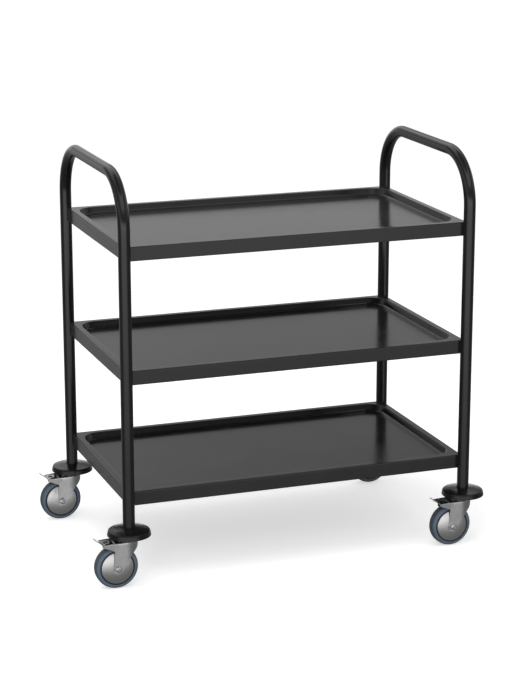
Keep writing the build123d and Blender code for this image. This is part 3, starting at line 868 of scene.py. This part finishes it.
def round_ended(x, low, high, half, corner):
    """Half width of a strip along x that has rounded corners at both ends, and nought beyond them."""
    hair = 1e-9
    inside = np.minimum(x - low, high - x)
    from_end = np.clip(inside, 0, corner)
    width = half - corner + np.sqrt(np.maximum(corner**2 - (corner - from_end)**2, 0))
    return np.where(inside < -hair, 0, width)


def pedal_plate():
    """Bent strip: a line from tip to bend to the tongue's end, carried across blade, wide yoke and tongue."""
    bend_radius, bend_steps, rows, columns, joint = 0.003, 13, 31, 21, 1e-6
    blade_half, blade_corner, tongue_half, tongue_corner = 0.008, 0.005, 0.010, 0.004
    line = rounded([(*tip, 0), (bend_x, bend_z, bend_radius), (*tongue, 0)], bend_steps)
    share = (1 - np.cos(np.linspace(0, math.pi, rows))) / 2
    x = np.concatenate([
        tip[0] + (yoke_back - joint - tip[0]) * share,
        yoke_back + (yoke_front - yoke_back) * share,
        yoke_front + joint + (tongue[0] - yoke_front - joint) * share,
    ])
    z = np.interp(x, line[:, 0], line[:, 1])
    half = np.maximum.reduce([
        round_ended(x, tip[0], yoke_front, blade_half, blade_corner),
        round_ended(x, yoke_back, yoke_front, yoke_half, yoke_corner),
        round_ended(x, yoke_back, tongue[0], tongue_half, tongue_corner),
    ])
    strip = joined(x[:, None], half[:, None] * np.linspace(-1, 1, columns), z[:, None])
    return [skin(strip, round_columns=False)]


def pedal_ears():
    """Two plates beside the wheel: round the pin in front, and from there straight to the strip's bend."""
    ear, arc_points = 0.0045, 25
    pin = np.array([-pin_back, pin_height])
    root_x = yoke_front - yoke_corner
    root = (root_x, bend_z + tongue_slope * (root_x - bend_x))
    ends = np.array([(bend_x, bend_z), root]) - pin
    far = np.linalg.norm(ends, axis=1)
    toward = np.arctan2(ends[:, 1], ends[:, 0])
    first = toward[0] + math.acos(ear / far[0]) - 2 * math.pi
    last = toward[1] - math.acos(ear / far[1])
    angle = np.linspace(first, last, arc_points)
    arc = pin + ear * joined(np.cos(angle), np.sin(angle))
    outline = np.concatenate([[(bend_x, bend_z)], arc, [root]])
    inside = yoke_half - pedal_sheet
    plates = [prism(outline, inside, yoke_half), prism(outline, -yoke_half, -inside)]
    return [skin(plate, capped=True) for plate in plates]


def pedal_shoe():
    """Rubber block through the tongue, hollowed by the tyre's circle as the pressed lever meets it."""
    length, lead, half, over, arc_points = 0.0105, 0.0035, 0.0055, 0.0012, 15
    reach = wheel_radius + 0.0004
    away_x, away_z = pin_back - trail, wheel_radius - pin_height
    cos, sin = math.cos(press_angle), math.sin(press_angle)
    wheel_x = -pin_back + away_x * cos + away_z * sin
    wheel_z = pin_height - away_x * sin + away_z * cos
    front, back = bend_x + lead + length, bend_x + lead
    x = np.linspace(front, back, arc_points)
    arc = joined(x, wheel_z + np.sqrt(reach**2 - (x - wheel_x)**2))
    upper = np.array([(end, bend_z + tongue_slope * (end - bend_x) + over) for end in (back, front)])
    return [skin(prism(np.concatenate([arc, upper]), -half, half), capped=True)]


# The pieces, on their bodies
for side, name in ((-1, "left_hoop"), (1, "right_hoop")):
    piece(f"{name}_tube", hoop(side), "frame", tube_black, [name])
for name, top in tray_tops.items():
    piece(f"{name}_pressing", tray(top), "frame", tray_black, [name], sharp=40)

sheet_edge = 0.0003
shoe_edge = 0.0004
# Each foot piece: its skins, the body it rides on, its finish, slot, the node it stands for, sheet and edge
foot_pieces = {
    "bumper_disc": (bumper(), "frame", bumper_black, "bumper_black", "bumper", 0, 0),
    "swivel_plate": (swivel_head(), "frame", castor_steel, "castor_steel", "swivel_head", 0, 0),
    "swivel_balls": (ball_ring(), "frame", fastener_zinc, "castor_steel", "ball_ring", 0, 0),
    "fork_pressing": (fork(), "castor", castor_steel, "castor_steel", "fork", fork_sheet, sheet_edge),
    "axle_screw": (axle_bolt(), "castor", fastener_zinc, "zinc_fastener", "axle_bolt", 0, 0),
    "axle_hex_nut": (axle_nut(), "castor", fastener_zinc, "zinc_fastener", "axle_nut", 0, 0),
    "wheel_covers": (thread_guards(), "castor", guard_silver, "guard_grey", "thread_guards", 0, 0),
    "wheel_centre": (wheel_core(), "wheel", core_grey, "core_grey", "wheel_core", 0, 0),
    "tyre_ring": (tyre(), "wheel", tyre_rubber, "tyre_grey", "tyre", 0, 0),
    "brake_rivet": (brake_pin(), "castor", fastener_zinc, "zinc_fastener", "brake_pin", 0, 0),
    "brake_plate": (
        pedal_plate(), "brake", lever_steel, "castor_steel", "brake_pedal", pedal_sheet, sheet_edge),
    "brake_ears": (pedal_ears(), "brake", castor_steel, "castor_steel", None, 0, sheet_edge),
    "brake_shoe": (pedal_shoe(), "brake", shoe_black, "bumper_black", None, 0, shoe_edge),
}
for corner, (side, end) in corners.items():
    leg = (side * half_length, end * half_width, 0)
    axle = (leg[0] - trail, leg[1], wheel_radius)
    for name, (skins, body, finish, slot, solid, sheet, edge) in foot_pieces.items():
        body_name = body if body == "frame" else f"{corner}_{body}"
        solids = [f"{corner}_{solid}"] if solid else []
        made = piece(f"{corner}_{name}", moved(skins, leg), body_name, finish, solids,
                     centre=axle, sheet=sheet, edge=edge)
        if name == "brake_plate":
            # The strip's line is the middle of its sheet
            made.modifiers["sheet"].offset = 0

# Solids that stay as they are, in their own finishes
frame["nodes"]["tray_corner_plates"].material_slots[0].material = tray_black
for name in ["tray_bolts", "rivet_nuts", "leg_plugs", *(f"{corner}_axle_sleeve" for corner in corners)]:
    frame["nodes"][name].material_slots[0].material = fastener_zinc


# Floor, light and camera
def seen_ray(tree):
    """One where the ray comes from the camera, a mirror or glass, and nought for other light."""
    path = node(tree, "ShaderNodeLightPath").outputs
    sharp = maths(tree, "MAXIMUM", path["Is Camera Ray"], path["Is Glossy Ray"])
    return maths(tree, "MAXIMUM", sharp, path["Is Transmission Ray"])


def floor():
    """Wide pale floor: white with a soft shadow where it is seen, and plain white paper for other light."""
    reach = 40.0
    square = [(-reach, -reach, 0), (reach, -reach, 0), (reach, reach, 0), (-reach, reach, 0)]
    mesh = bpy.data.meshes.new("floor")
    mesh.from_pydata(square, [], [(0, 1, 2, 3)])
    material = bpy.data.materials.new("pale floor")
    material.use_nodes = True
    tree = material.node_tree
    tree.nodes.clear()
    glow = node(tree, "ShaderNodeEmission", {"Color": (1, 1, 1, 1), "Strength": 0.55})
    shadow = node(tree, "ShaderNodeBsdfDiffuse", {"Color": (0.9, 0.9, 0.9, 1)})
    both = node(tree, "ShaderNodeAddShader", {0: glow.outputs[0], 1: shadow.outputs[0]})
    paper = node(tree, "ShaderNodeBsdfDiffuse", {"Color": (0.8, 0.8, 0.8, 1)})
    mixed = node(tree, "ShaderNodeMixShader", {0: seen_ray(tree), 1: paper.outputs[0], 2: both.outputs[0]})
    node(tree, "ShaderNodeOutputMaterial", {"Surface": mixed.outputs[0]})
    mesh.materials.append(material)
    made = bpy.data.objects.new("floor", mesh)
    made.visible_glossy = False
    bpy.context.scene.collection.objects.link(made)


def world():
    """Studio round the trolley: white where the camera sees it, and a softer grey for light from all round.

    What a glossy surface shows depends on where its reflection goes.  Below the horizon it is bright in front
    and behind, as a pale floor is.  Just above the horizon the room in front is dim and the wall behind is
    paler, with one soft box over it.  From about thirty degrees up a pale band runs over front and back, and
    straight overhead it is dark.  Both sides are dim, as with a dark card on each, but for a paler strip just
    above the horizon.
    """
    # Directions, and how closely a light keeps to its own
    front_way, back_way, behind_way = (-0.341, -0.940, 0), (0.35, 0.937, 0), (0, 1, 0)
    back_focus, behind_focus = 5.0, 2.0
    box_way, box_focus = (-0.05, 0.915, 0.40), 38.0
    # How far round a change runs: by the cosine with the front, or by the share of the way to either side
    front_spread, strip_spread, band_spread = (0.4, 0.9), (0.74, 0.92), (0.36, 0.7)
    # How far up a change runs, as sines of the angle over the horizon
    front_floor_rise, back_floor_rise, back_wall_rise = (-0.46, -0.1), (-0.38, 0.05), (-0.08, 0.4)
    horizon, strip_rise, band_rise, top_rise = (0.05, 0.17), (0.04, 0.16), (0.38, 0.6), (0.82, 0.93)
    # Strength of the light from each part
    dim_floor, front_floor, back_floor, behind_floor = 0.16, 1.3, 1.2, 0.12
    dim_wall, front_wall, back_wall_foot, back_wall_top, strip = 0.18, 0.05, 0.9, 0.115, 0.4
    pale_band, band_loss, dark_top, soft_box = 1.05, -0.85, 0.15, 0.85
    around_strength = 0.5

    made = bpy.data.worlds.new("studio")
    bpy.context.scene.world = made
    made.use_nodes = True
    tree = made.node_tree
    tree.nodes.clear()
    path = node(tree, "ShaderNodeLightPath").outputs
    toward = node(tree, "ShaderNodeTexCoord").outputs["Generated"]
    split = node(tree, "ShaderNodeSeparateXYZ", {0: toward}).outputs
    up = split["Z"]
    aside = maths(tree, "ABSOLUTE", split["X"])

    def facing(direction):
        """Cosine between the reflection and a direction, and nought on its far side."""
        cosine = node(tree, "ShaderNodeVectorMath", {0: toward, 1: direction}, operation="DOT_PRODUCT")
        return scaled(tree, cosine.outputs["Value"], 0, 1)

    def plus(ground, share, gain):
        """A level with a share of another added to it."""
        return maths(tree, "MULTIPLY_ADD", share, gain, ground)

    def between(low, high, rise):
        """One level low down and another higher up, with a smooth change between two heights."""
        return node(tree, "ShaderNodeMix", {"Factor": eased(tree, up, *rise), "A": low, "B": high}).outputs[0]

    def background(strength):
        """White light of a strength."""
        return node(tree, "ShaderNodeBackground", {"Color": (1, 1, 1, 1), "Strength": strength}).outputs[0]

    front = facing(front_way)
    back = maths(tree, "POWER", facing(back_way), back_focus)
    behind = maths(tree, "POWER", facing(behind_way), behind_focus)
    front_rise = eased(tree, up, *front_floor_rise)
    floor_front = maths(tree, "MULTIPLY", eased(tree, front, *front_spread), front_rise)
    floor_back = maths(tree, "MULTIPLY", back, eased(tree, up, *back_floor_rise))
    lit_floor = plus(plus(dim_floor, floor_front, front_floor), floor_back, back_floor)
    below = plus(lit_floor, behind, behind_floor)
    wall_back = maths(tree, "MULTIPLY", back, between(back_wall_foot, back_wall_top, back_wall_rise))
    lit_wall = maths(tree, "ADD", plus(dim_wall, front, front_wall), wall_back)
    strips = maths(tree, "MULTIPLY", eased(tree, aside, *strip_spread), eased(tree, up, *strip_rise))
    level = plus(lit_wall, strips, strip)
    band = plus(pale_band, eased(tree, aside, *band_spread), band_loss)
    walls = between(between(below, level, horizon), band, band_rise)
    room = between(walls, dark_top, top_rise)
    shown = plus(room, maths(tree, "POWER", facing(box_way), box_focus), soft_box)

    white = background(1.0)
    seen = node(tree, "ShaderNodeMixShader", {0: path["Is Camera Ray"], 1: background(shown), 2: white})
    around = background(around_strength)
    mixed = node(tree, "ShaderNodeMixShader", {0: seen_ray(tree), 1: around, 2: seen.outputs[0]})
    node(tree, "ShaderNodeOutputWorld", {"Surface": mixed.outputs[0]})


def soft_lamp(name, place, target, width, height, power):
    """Soft lamp that looks at a target, and that glossy surfaces do not show."""
    data = bpy.data.lights.new(name, "AREA")
    data.shape = "RECTANGLE"
    data.size = width
    data.size_y = height
    data.energy = power
    made = bpy.data.objects.new(name, data)
    made.location = place
    made.visible_glossy = False
    aim = np.array(target) - np.array(place)
    tilt = math.acos(-aim[2] / np.linalg.norm(aim))
    heading = math.atan2(aim[1], aim[0]) - math.pi / 2
    made.rotation_euler = (tilt, 0, heading)
    bpy.context.scene.collection.objects.link(made)


def camera():
    """Camera of the photograph: 525 by 700 pixels, with its focal length given in pixels of that frame."""
    frame_height, focal = 700, 2098.2
    place, tilt_down, heading = (-1.6470, -4.5348, 1.7482), 15.05, -19.92
    data = bpy.data.cameras.new("camera")
    data.sensor_fit = "VERTICAL"
    data.sensor_height = 36.0
    data.lens = focal * data.sensor_height / frame_height
    data.clip_end = 200
    made = bpy.data.objects.new("camera", data)
    made.location = place
    made.rotation_euler = (math.radians(90 - tilt_down), 0, math.radians(heading))
    bpy.context.scene.collection.objects.link(made)
    bpy.context.scene.camera = made


floor()
world()
soft_lamp("overhead", place=(-0.6, -0.4, 3.2), target=(0, 0, 0.4), width=3.0, height=2.6, power=44)
soft_lamp("front", place=(-2.0, -3.2, 3.0), target=(0, 0, 0.5), width=1.6, height=1.6, power=26)
camera()
bpy.context.scene.view_settings.view_transform = "Standard"
